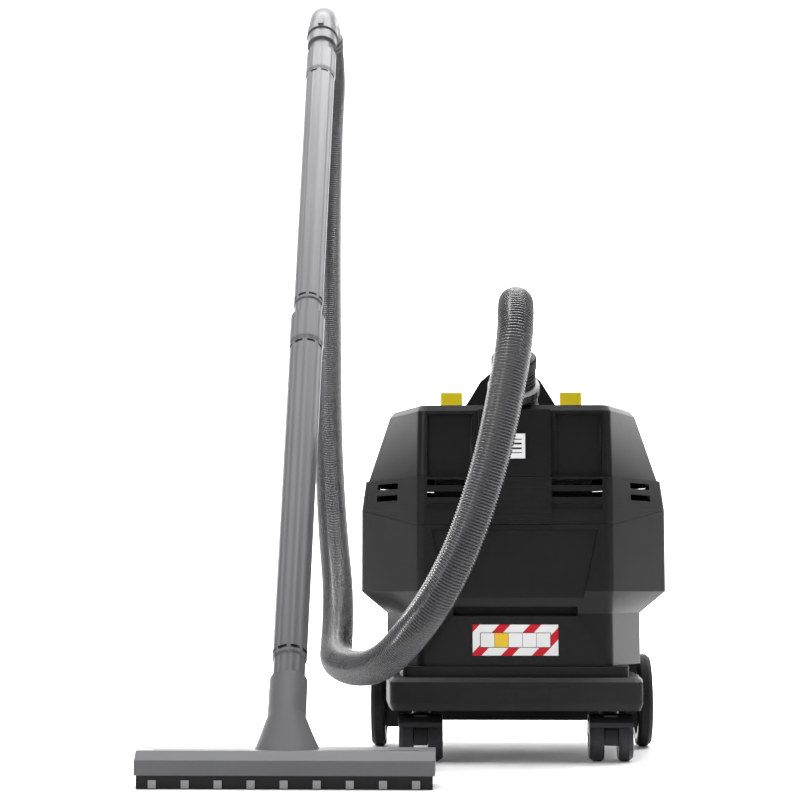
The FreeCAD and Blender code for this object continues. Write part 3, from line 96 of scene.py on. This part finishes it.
# %% Soft light
LIGHTS = {
    "key_left": ((-1.7, -2.4, 1.9), (0.4, 2.0), 40),
    "fill_right": ((2.4, -1.9, 1.3), (0.5, 2.2), 6),
    "overhead": ((0.1, 0.0, 3.0), (2.4, 2.4), 100),
    "rim_left": ((-1.8, 1.3, 1.2), (0.6, 2.2), 5),
    "rim_right": ((1.8, 1.3, 1.2), (0.6, 2.2), 7),
}
AIM = Vector((0.05, 0.0, 0.35))
for name, (at, size, watts) in LIGHTS.items():
    data = bpy.data.lights.new(name, "AREA")
    data.shape, data.size, data.size_y, data.energy = "RECTANGLE", size[0], size[1], watts
    lamp = bpy.data.objects.new(name, data)
    lamp.location = at
    lamp.rotation_euler = (AIM - Vector(at)).to_track_quat("-Z", "Y").to_euler()
    bpy.context.scene.collection.objects.link(lamp)
WASH_AT, WASH_AIM = Vector((0.0, 1.0, 3.4)), Vector((0.0, 3.6, 0.9))
wash_data = bpy.data.lights.new("backdrop_wash", "AREA")
wash_data.shape, wash_data.size, wash_data.size_y, wash_data.energy = "RECTANGLE", 5.0, 1.0, 400
wash = bpy.data.objects.new("backdrop_wash", wash_data)
wash.location = WASH_AT
wash.rotation_euler = (WASH_AIM - WASH_AT).to_track_quat("-Z", "Y").to_euler()
bpy.context.scene.collection.objects.link(wash)
world = bpy.data.worlds.new("studio")
bpy.context.scene.world = world
world.use_nodes = True
world.node_tree.nodes["Background"].inputs["Color"].default_value = (0.98, 0.985, 1.0, 1)
world.node_tree.nodes["Background"].inputs["Strength"].default_value = 0.17
bpy.context.scene.view_settings.view_transform = "Standard"
print("lights", sorted(LIGHTS))

# %% [markdown]
# ## Writing shader maths as Python
# A finish is a small sum: a base colour, a little mottling, a fine grain in the surface, and now and then a
# pattern that is pressed or printed. `Signal` wraps a socket so that such a sum can be written as one.

# %% A socket that can be added, multiplied and compared
class Signal:
    def __init__(self, finish, socket):
        self.finish, self.socket = finish, socket

    def _math(self, operation, *values):
        return self.finish.node("ShaderNodeMath", {"operation": operation}, dict(enumerate(values)))

    def __add__(self, other): return self._math("ADD", self, other)
    def __radd__(self, other): return self._math("ADD", other, self)
    def __sub__(self, other): return self._math("SUBTRACT", self, other)
    def __rsub__(self, other): return self._math("SUBTRACT", other, self)
    def __mul__(self, other): return self._math("MULTIPLY", self, other)
    def __rmul__(self, other): return self._math("MULTIPLY", other, self)
    def __truediv__(self, other): return self._math("DIVIDE", self, other)
    def __rtruediv__(self, other): return self._math("DIVIDE", other, self)
    def __abs__(self): return self._math("ABSOLUTE", self)
    def __lt__(self, other): return self._math("LESS_THAN", self, other)
    def __gt__(self, other): return self._math("GREATER_THAN", self, other)
    def sine(self): return self._math("SINE", self)
    def fraction(self): return self._math("FRACT", self)
    def atan2(self, other): return self._math("ARCTAN2", self, other)
    def least(self, other): return self._math("MINIMUM", self, other)
    def power(self, other): return self._math("POWER", self, other)
    def within(self, low, high): return (self > low) * (self < high)


print("signals ready")

# %% One finish, one node-making method
class Finish:
    def __init__(self, name, roughness, metallic=0.0, coat=0.0):
        self.material = bpy.data.materials.new(name)
        self.material.use_nodes = True
        self.tree = self.material.node_tree
        self.shader = self.tree.nodes["Principled BSDF"]
        self.shader.inputs["Roughness"].default_value = roughness
        self.shader.inputs["Metallic"].default_value = metallic
        self.shader.inputs["Coat Weight"].default_value = coat
        self.place = self.node("ShaderNodeTexCoord", out="Object")

    def node(self, kind, settings=None, sockets=None, out=0):
        made = self.tree.nodes.new(kind)
        for key, value in (settings or {}).items():
            setattr(made, key, value)
        for key, value in (sockets or {}).items():
            self.feed(made.inputs[key], value)
        return Signal(self, made.outputs[out])

    def feed(self, socket, value):
        if isinstance(value, Signal):
            self.tree.links.new(value.socket, socket)
        elif isinstance(value, tuple) and socket.type == "RGBA":
            socket.default_value = (*value, 1)
        else:
            socket.default_value = value

    def set(self, socket, value):
        self.feed(self.shader.inputs[socket], value)

    def along(self, direction, origin=(0, 0, 0)):
        """Distance from origin along a direction, in metres."""
        way = Vector(direction).normalized()
        dot = self.node("ShaderNodeVectorMath", {"operation": "DOT_PRODUCT"},
                        {0: self.place, 1: tuple(way)}, out="Value")
        return dot - way.dot(Vector(origin))

    def noise(self, scale, detail=2.0):
        return self.node("ShaderNodeTexNoise", {}, {"Vector": self.place, "Scale": scale, "Detail": detail})

    def mix(self, factor, first, second):
        return self.node("ShaderNodeMix", {"data_type": "RGBA"}, {0: factor, 6: first, 7: second}, out=2)

    def raise_by(self, height_mm, strength=1.0):
        """Feeds a height in millimetres to the surface normal."""
        self.set("Normal", self.node("ShaderNodeBump", {}, {"Height": height_mm, "Distance": MM,
                                                            "Strength": strength}))


def wear(node, finish):
    """Gives a CAD node its finish."""
    mesh = nodes[node].data
    mesh.materials.clear()
    mesh.materials.append(finish.material)
    worn.add(node)


worn = set()
print("finish maker ready")

# %% [markdown]
# ## Moulded plastic
# Nearly every part is ABS or polypropylene from a spark-eroded mould. The mould leaves a fine orange-peel
# grain, and the flow of the melt leaves a faint cloudiness in colour and gloss. Both are noise at the real
# scale: grain of about a millimetre and clouds of several centimetres.

# %% The moulded finish
def moulded(name, colour, roughness, grain=0.9, depth=0.025, clouds=7.0, relief=None, tint=None, coat=0.0,
            gloss=0.2):
    finish = Finish(name, roughness, coat=coat)
    finish.shader.inputs["Specular IOR Level"].default_value = gloss
    cloud = finish.noise(clouds, 3.0)
    fine = finish.noise(1 / (grain * MM), 2.0)
    darker = tuple(c * 0.86 for c in colour)
    lighter = tuple(min(1.0, c * 1.14) for c in colour)
    paint = finish.mix(cloud, darker, lighter)
    if tint:
        paint = tint(finish, paint)
    finish.set("Base Color", paint)
    finish.set("Roughness", roughness - 0.05 + cloud * 0.06 + fine * 0.05)
    height = fine * depth
    if relief:
        height = height + relief(finish)
    finish.raise_by(height)
    return finish


CHARCOAL = (0.0105, 0.0106, 0.0112)
SOFT_BLACK = (0.012, 0.0122, 0.0128)
print("moulded finish ready")

# %% [markdown]
# ## Tub, head and trolley
# The head and the container are the same charcoal, the trolley is a shade blacker and duller. Shallow
# mould lines that are too fine for the engineering model are pressed in as relief.

# %% Trolley relief: three ribs inside a pressed panel line
trolley_low, trolley_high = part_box("base_trolley")
TROLLEY_FRONT_TO_MID = 0.192
machine_x = (trolley_low.x + trolley_high.x) / 2
machine_y = trolley_low.y + TROLLEY_FRONT_TO_MID
RIB_STEP, RIB_HALF, PANEL_TOP, LEG_AT, LEG_LEAN = 0.0386, 0.0011, 0.0925, 0.062, 0.31


def trolley_relief(f):
    x = f.along((1, 0, 0), (machine_x, 0, 0))
    z = f.along((0, 0, 1))
    y = f.along((0, 1, 0), (0, trolley_low.y, 0))
    front = y < 0.012
    off_rib = abs((x / RIB_STEP + 0.5).fraction() - 0.5)
    rib = (off_rib < RIB_HALF / RIB_STEP) * (abs(x) < 0.045) * (z < 0.084)
    leg = abs(abs(x) - LEG_AT - (PANEL_TOP - z) * LEG_LEAN) < 0.0022
    lip = z.within(PANEL_TOP - 0.005, PANEL_TOP) * (abs(x) < LEG_AT)
    return front * (rib * 1.2 - leg * (z < PANEL_TOP) * 0.9 - lip * 0.9)


trolley_finish = moulded("trolley_black", SOFT_BLACK, 0.48, grain=1.1, depth=0.035, relief=trolley_relief)
wear("base_trolley", trolley_finish)
print("trolley between", [round(v, 3) for v in trolley_low], [round(v, 3) for v in trolley_high])

# %% Container and head
def tub_tint(f, paint):
    x = f.along((1, 0, 0), (machine_x, 0, 0))
    z = f.along((0, 0, 1))
    scuff = f.noise(60.0, 5.0).power(6.0) * (z < 0.2)
    return f.mix(scuff * 0.8, paint, (0.03, 0.03, 0.03))


tub_finish = moulded("tub_charcoal", CHARCOAL, 0.40, grain=1.0, depth=0.02, tint=tub_tint)
wear("container", tub_finish)


def vent_relief(f):
    x = f.along((1, 0, 0), (machine_x, 0, 0))
    z = f.along((0, 0, 1))
    y = f.along((0, 1, 0), (0, machine_y, 0))
    line = abs((z / 0.0075).fraction() - 0.5) < 0.07
    return (y < -0.160) * (abs(x) < 0.043) * z.within(0.280, 0.326) * line * -0.4


head_finish = moulded("head_charcoal", CHARCOAL, 0.38, grain=1.0, depth=0.02, relief=vent_relief)
for part in ("head_lower_housing", "head_upper_cover", "carry_handle", "filter_lid", "hose_port"):
    wear(part, head_finish)
print("head and tub finished")

# %% [markdown]
# ## Small black parts
# Latches, caster hoods and knobs are the same family of plastic with their own gloss, and the seals and
# tyres are softer and duller.

# %% Latches, casters, seals and tyres
glossy = moulded("fitting_black", (0.016, 0.016, 0.017), 0.30, grain=0.7, depth=0.012)
for part in ("latch_left", "latch_right", "button_guide", "cable_gland", "cable_hook", "switch_box",
             "motor_bearings"):
    wear(part, glossy)
caster_finish = moulded("caster_plastic", (0.022, 0.0225, 0.024), 0.36, grain=0.8, depth=0.02)
for part in ("caster_hood_left", "caster_hood_right"):
    wear(part, caster_finish)
rubber = moulded("rubber", (0.011, 0.011, 0.011), 0.72, grain=0.5, depth=0.05)
for part in ("rim_gasket", "rear_strip"):
    wear(part, rubber)
strip_low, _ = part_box("front_strip")


def nib_tint(f, paint):
    return f.mix(f.along((0, 1, 0), (0, strip_low.y, 0)) < 0.0019, paint, (0.26, 0.26, 0.265))


strip_finish = moulded("strip_rubber", (0.012, 0.012, 0.012), 0.6, grain=0.5, depth=0.04, tint=nib_tint)
wear("front_strip", strip_finish)


def wheel_finish(name, node, colour, roughness, bars, depth):
    """A round part with bars across its running face, counted around its own axle (along X)."""
    low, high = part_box(node)
    hub = (low + high) / 2

    def relief(f):
        y = f.along((0, 1, 0), (0, hub.y, 0))
        z = f.along((0, 0, 1), (0, 0, hub.z))
        turn = y.atan2(z) * (bars / (2 * math.pi))
        return (abs(turn.fraction() - 0.5) > 0.36) * depth
    return moulded(name, colour, roughness, grain=0.6, depth=0.04, relief=relief)


TYRE_BLACK, TREAD_BARS, TREAD_DEPTH = (0.012,) * 3, 72, 0.35
for side in ("left", "right"):
    tyre = f"rear_tyre_{side}"
    wear(tyre, wheel_finish(f"tyre_{side}", tyre, TYRE_BLACK, 0.62, TREAD_BARS, TREAD_DEPTH))
    wear(f"rear_wheel_{side}", moulded(f"rear_wheel_{side}", (0.024, 0.0245, 0.026), 0.34))
    wear(f"caster_wheels_{side}", moulded(f"caster_disc_{side}", (0.030, 0.031, 0.033), 0.38, depth=0.03))
wear("nozzle_rollers", moulded("roller_black", (0.03, 0.03, 0.03), 0.5))
print("running gear finished")

# %% Knob and filter-clean button
KNOB_RIDGES = 36


def knob_relief(f):
    low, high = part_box("power_knob")
    x = f.along((1, 0, 0), ((low.x + high.x) / 2, 0, 0))
    y = f.along((0, 1, 0), (0, (low.y + high.y) / 2, 0))
    return (x.atan2(y) * (KNOB_RIDGES / (2 * math.pi))).fraction() * 0.25


wear("power_knob", moulded("knob", (0.02, 0.02, 0.022), 0.32, relief=knob_relief))
wear("filter_clean_button", moulded("clean_button", (0.10, 0.10, 0.105), 0.35))
YELLOW = (0.90, 0.70, 0.02)
yellow = moulded("yellow_tab", YELLOW, 0.42, grain=0.8, depth=0.02, clouds=20)
for part in ("lid_catch_left", "lid_catch_right"):
    wear(part, yellow)
print("controls finished")

# %% [markdown]
# ## Grey wand, nozzle and hose fittings
# The accessories are mid-grey polypropylene. The tubes are blown with shallow flutes along them, which make
# long bright and dark stripes. The stripes follow the angle around the wand's own leaning axis, so the
# shader measures that angle from two directions square to the axis.

# %% Flutes that follow the wand's axis
GREY = (0.108, 0.109, 0.112)
WAND_FOOT = Vector((-0.14245, -0.34731, 0.1271))
WAND_AXIS = Vector((-0.016503, 0.61566, 0.78784)).normalized()
WAND_SIDE = WAND_AXIS.cross(Vector((0, 0, 1))).normalized()
WAND_UPPER = WAND_SIDE.cross(WAND_AXIS).normalized()
FLUTES, FLUTE_DEPTH = 10, 0.55


def wand_angle(f):
    return f.along(WAND_SIDE, WAND_FOOT).atan2(f.along(WAND_UPPER, WAND_FOOT))


def fluted(f):
    return (wand_angle(f) * FLUTES).sine() * FLUTE_DEPTH


WINDOW_ROWS = ((0.003, 0.0184), (0.460, 0.0202), (0.544, 0.0184), (1.001, 0.0202))   # height, tube radius


def windows(f, paint):
    """The shallow windows in the tube ends are in shadow: darker where the wall is cut back."""
    side, upper, up = (f.along(way, WAND_FOOT) for way in (WAND_SIDE, WAND_UPPER, WAND_AXIS))
    radius = (side * side + upper * upper).power(0.5)
    cut = sum((abs(up - height) < 0.0023) * (radius < wall - 0.0003) for height, wall in WINDOW_ROWS)
    return f.mix(cut.least(1.0), paint, (0.008, 0.008, 0.008))


tube_finish = moulded("tube_grey", GREY, 0.33, grain=0.8, depth=0.010, clouds=9, relief=fluted,
                      tint=windows)
for part in ("lower_tube", "upper_tube"):
    wear(part, tube_finish)
fitting_grey = moulded("fitting_grey", GREY, 0.38, grain=0.9, depth=0.02, clouds=9)
for part in ("wand_elbow", "air_slide", "nozzle_body"):
    wear(part, fitting_grey)
cuff_low, cuff_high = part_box("elbow_cuff")
CUFF_DOT = Vector((cuff_high.x, (cuff_low.y + cuff_high.y) / 2, (cuff_low.z + cuff_high.z) / 2))


def dotted(f, paint):
    reach = f.node("ShaderNodeVectorMath", {"operation": "DISTANCE"}, {0: f.place, 1: tuple(CUFF_DOT)},
                   out="Value")
    return f.mix(reach < 0.0055, paint, (0.45, 0.42, 0.05))


wear("elbow_cuff", moulded("cuff_grey", (0.06, 0.061, 0.063), 0.38, tint=dotted))
print("wand axis", tuple(round(v, 4) for v in WAND_AXIS))

# %% Ribbed sleeve where the hose leaves the head
sleeve_low, sleeve_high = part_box("hose_sleeve")
PORT_LEAN = math.radians(35)
PORT_AXIS = Vector((0, -math.sin(PORT_LEAN), math.cos(PORT_LEAN)))
PORT_SIDE = Vector((1, 0, 0))
SLEEVE_RIBS = 48
PORT_UPPER = PORT_SIDE.cross(PORT_AXIS)
SLEEVE_FACE = Vector((0.10145, -0.12179, 0.47407))
RING_BACK = 0.0362
RING_FACE = SLEEVE_FACE - PORT_AXIS * RING_BACK


def sleeve_relief(f):
    turn = f.along(PORT_SIDE, SLEEVE_FACE).atan2(f.along(PORT_UPPER, SLEEVE_FACE))
    return (turn * (SLEEVE_RIBS / (2 * math.pi))).fraction() * 0.5


sleeve_finish = moulded("sleeve_black", (0.017, 0.017, 0.0175), 0.45, relief=sleeve_relief)
wear("hose_sleeve", sleeve_finish)


def ring_edge(f, paint):
    return f.mix(f.along(PORT_AXIS, RING_FACE) > -0.0035, paint, (0.30, 0.30, 0.31))


wear("port_ring", moulded("ring_black", (0.016, 0.016, 0.0165), 0.4, tint=ring_edge))
print("sleeve spans", [round(a - b, 3) for a, b in zip(sleeve_high, sleeve_low)])

# %% [markdown]
# ## Steel, copper, paper and foam
# The axle, screws and pins are turned steel. Inside are the motor's laminated iron and copper, a pleated
# paper filter and a slab of reticulated foam: hidden while the head is shut, seen when it is lifted.

# %% Metals
def metal(name, colour, roughness, lines, axis=(1, 0, 0), depth=0.01):
    finish = Finish(name, roughness, metallic=1.0)
    turned = (finish.along(axis) * lines + finish.noise(300.0) * 2).sine()
    finish.set("Base Color", finish.mix(finish.noise(40.0, 3.0), tuple(c * 0.85 for c in colour), colour))
    finish.set("Roughness", roughness + turned * 0.04)
    finish.raise_by(turned * depth)
    return finish


steel = metal("turned_steel", (0.60, 0.60, 0.61), 0.26, 9000)
for part in ("base_screws", "rear_axle", "latch_pins", "head_screws", "lid_hinge_pin", "roller_pins",
             "caster_pins_left", "caster_pins_right", "button_spring"):
    wear(part, steel)
wear("sole_plate", metal("sole_steel", (0.55, 0.55, 0.56), 0.32, 2500, axis=(0, 1, 0)))
wear("motor_stator", metal("laminated_iron", (0.30, 0.29, 0.28), 0.45, 7000, axis=(0, 0, 1), depth=0.05))
wear("motor_rotor", metal("copper_winding", (0.75, 0.36, 0.18), 0.38, 5000, axis=(0, 0, 1), depth=0.08))
print("metals finished")

# %% Paper, foam and inner plastic
PLEAT_PITCH = 0.008


def pleats(f):
    return (f.along((1, 0, 0)) * (2 * math.pi / PLEAT_PITCH)).sine() * 0.8


wear("flat_filter", moulded("filter_paper", (0.72, 0.69, 0.60), 0.85, grain=0.4, depth=0.06, relief=pleats))


def pores(f):
    return f.node("ShaderNodeTexVoronoi", {}, {"Vector": f.place, "Scale": 700.0}) * 1.2


wear("exhaust_foam", moulded("foam", (0.05, 0.05, 0.052), 0.9, relief=pores))
inner = moulded("inner_plastic", (0.10, 0.10, 0.102), 0.45)
for part in ("filter_tray", "motor_housing", "float_cage", "inlet_duct"):
    wear(part, inner)
wear("float_ball", moulded("float_ball", (0.62, 0.60, 0.56), 0.4))
print("insides finished")

# %% [markdown]
# ## Printed plates
# The badge is a small white plate and the tub carries a striped sticker. Both are plain here: the badge has
# three bars, and the sticker has slanted red stripes around an empty panel. A print is a mask made of
# distances across the plate, so it stays crisp at any size.

# %% Badge and striped plate
plate_low, plate_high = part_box("striped_plate")
plate_mid = (plate_low + plate_high) / 2
STRIPE_PITCH, STRIPE_SHARE, CELLS = 0.036, 0.37, 5


def striped(f, paint):
    x = f.along((1, 0, 0), (plate_mid.x, 0, 0))
    z = f.along((0, 0, 1), (0, 0, plate_mid.z))
    half_x, half_z = (plate_high.x - plate_low.x) / 2, (plate_high.z - plate_low.z) / 2
    slanted = ((x - z * 0.95) / STRIPE_PITCH).fraction() < STRIPE_SHARE
    inside = (abs(x) < half_x - 0.0085) * (abs(z) < half_z - 0.0092)
    panel = (abs(x) < half_x - 0.0092) * (abs(z) < half_z - 0.0099)
    red = f.mix(slanted, paint, (0.56, 0.012, 0.022))
    cell = x / (2 * (half_x - 0.0092)) * CELLS + CELLS / 2
    divider = abs(cell.fraction() - 0.5) > 0.485
    filled = f.mix(cell.within(1.0, 2.0), paint, (0.80, 0.52, 0.04))
    blank = f.mix(divider, filled, (0.03, 0.03, 0.03))
    return f.mix(panel, f.mix(inside, red, (0.02, 0.02, 0.02)), blank)


sticker = moulded("striped_sticker", (0.80, 0.80, 0.79), 0.35, depth=0.004, tint=striped, coat=0.2)
wear("striped_plate", sticker)
badge_low, badge_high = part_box("badge_plate")
badge_mid = (badge_low + badge_high) / 2


def barred(f, paint):
    x = f.along((1, 0, 0), (badge_mid.x, 0, 0))
    z = f.along((0, 0, 1), (0, 0, badge_mid.z))
    bars = (abs((z / 0.0056).fraction() - 0.5) < 0.2) * (abs(z) < 0.0084) * (abs(x) < 0.0085)
    return f.mix(bars, paint, (0.03, 0.03, 0.032))


wear("badge_plate", moulded("badge_white", (0.80, 0.80, 0.80), 0.28, depth=0.004, tint=barred, coat=0.3))
print("plates finished")

# %% [markdown]
# ## The hose
# The hose is blown plastic with a rib every 3.4 mm. One rib is turned on a lathe, repeated in a straight
# row, and the row is bent along a smooth spline, which is how a real hose takes its curve: the ribs open on
# the outside of a bend and close on the inside.

# %% Hose route
HOSE_ROUTE = [
    (0.10145, -0.12179, 0.47407), (0.10145, -0.14840, 0.51208), (0.102, -0.195, 0.529),
    (0.101, -0.243, 0.514), (0.099, -0.275, 0.475), (0.089, -0.287, 0.418), (0.076, -0.293, 0.356),
    (0.058, -0.294, 0.293), (0.035, -0.290, 0.232), (0.008, -0.276, 0.183), (-0.020, -0.247, 0.146),
    (-0.045, -0.202, 0.121), (-0.068, -0.148, 0.109), (-0.095, -0.084, 0.107), (-0.116, -0.008, 0.114),
    (-0.120, 0.065, 0.131), (-0.123, 0.140, 0.160), (-0.128, 0.214, 0.207), (-0.139, 0.287, 0.270),
    (-0.149, 0.361, 0.350), (-0.157, 0.429, 0.440), (-0.161, 0.483, 0.540), (-0.164, 0.516, 0.641),
    (-0.165, 0.529, 0.735), (-0.164, 0.533, 0.830), (-0.161, 0.525, 0.915),
    (-0.155859, 0.486909, 0.983811), (-0.158398, 0.440809, 1.013699),
]
route_data = bpy.data.curves.new("hose_route", "CURVE")
route_data.dimensions = "3D"
route_data.resolution_u = 12
spline = route_data.splines.new("NURBS")
spline.points.add(len(HOSE_ROUTE) - 1)
for point, at in zip(spline.points, HOSE_ROUTE):
    point.co = (*at, 1)
spline.order_u = 3
spline.use_endpoint_u = True
route = bpy.data.objects.new("hose_route", route_data)
bpy.context.scene.collection.objects.link(route)
line_mesh = bpy.data.meshes.new_from_object(route)
hose_line = [v.co.copy() for v in line_mesh.vertices]
hose_length = sum((b - a).length for a, b in zip(hose_line, hose_line[1:]))
print("hose line", len(hose_line), "points,", round(hose_length, 4), "m")

# %% One rib, a straight row of ribs, and the bend
HOSE_R, RIB_PITCH, RIB_DEPTH, HOSE_SIDES = 0.0205, 0.0034, 0.0016, 28
ribs = round(hose_length / RIB_PITCH)
pitch = hose_length / ribs
rib = bmesh.new()
profile = [(0.0, RIB_DEPTH), (0.22, 0.9 * RIB_DEPTH), (0.40, 0.12 * RIB_DEPTH), (0.62, 0.0),
           (0.84, 0.12 * RIB_DEPTH), (1.0, RIB_DEPTH)]
first = [rib.verts.new((share * pitch, 0, HOSE_R - dip)) for share, dip in profile]
strip = [rib.edges.new(pair) for pair in zip(first, first[1:])]
bmesh.ops.spin(rib, geom=first + strip, cent=(0, 0, 0), axis=(1, 0, 0), angle=2 * math.pi,
               steps=HOSE_SIDES, use_merge=True)
bmesh.ops.remove_doubles(rib, verts=rib.verts, dist=1e-6)
bmesh.ops.recalc_face_normals(rib, faces=rib.faces)
rib_data = bpy.data.meshes.new("hose_skin")
rib.to_mesh(rib_data)
rib.free()
for face in rib_data.polygons:
    face.use_smooth = True
hose = bpy.data.objects.new("hose_skin", rib_data)
bpy.context.scene.collection.objects.link(hose)
row = hose.modifiers.new("row", "ARRAY")
row.use_relative_offset, row.use_constant_offset = False, True
row.constant_offset_displace = (pitch, 0, 0)
row.count = ribs
row.use_merge_vertices, row.merge_threshold = True, 1e-5
bend = hose.modifiers.new("bend", "CURVE")
bend.object, bend.deform_axis = route, "POS_X"
bpy.context.view_layer.update()
bent = bpy.data.meshes.new_from_object(hose.evaluated_get(bpy.context.evaluated_depsgraph_get()))
hose.modifiers.clear()
hose.data = bent
hose.data.name = "hose_skin"
bpy.data.objects.remove(route)
print("ribs", ribs, "pitch", round(pitch * 1000, 2), "mm, faces", len(bent.polygons))

# %% Hose finish, its place on the head, and the model's hose hidden
hose_finish = moulded("hose_grey", (0.030, 0.0305, 0.032), 0.27, grain=1.2, depth=0.005, clouds=9,
                       coat=0.35, gloss=0.5)
hose.data.materials.clear()
hose.data.materials.append(hose_finish.material)
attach(hose, "head")
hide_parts("suction_hose")
worn.add("suction_hose")

# %% [markdown]
# ## Floor finish and the last checks
# The floor is a pale matt sweep. The list of parts without a finish is printed, and has to be empty.

# %% Floor finish and leftovers
floor_finish = Finish("pale_floor", 0.55)
paint = floor_finish.mix(floor_finish.noise(3.0), (0.86, 0.86, 0.865), (0.90, 0.90, 0.90))
floor_finish.set("Base Color", paint)
floor_data.materials.append(floor_finish.material)
print("nodes without a finish:", sorted(set(nodes) - worn))
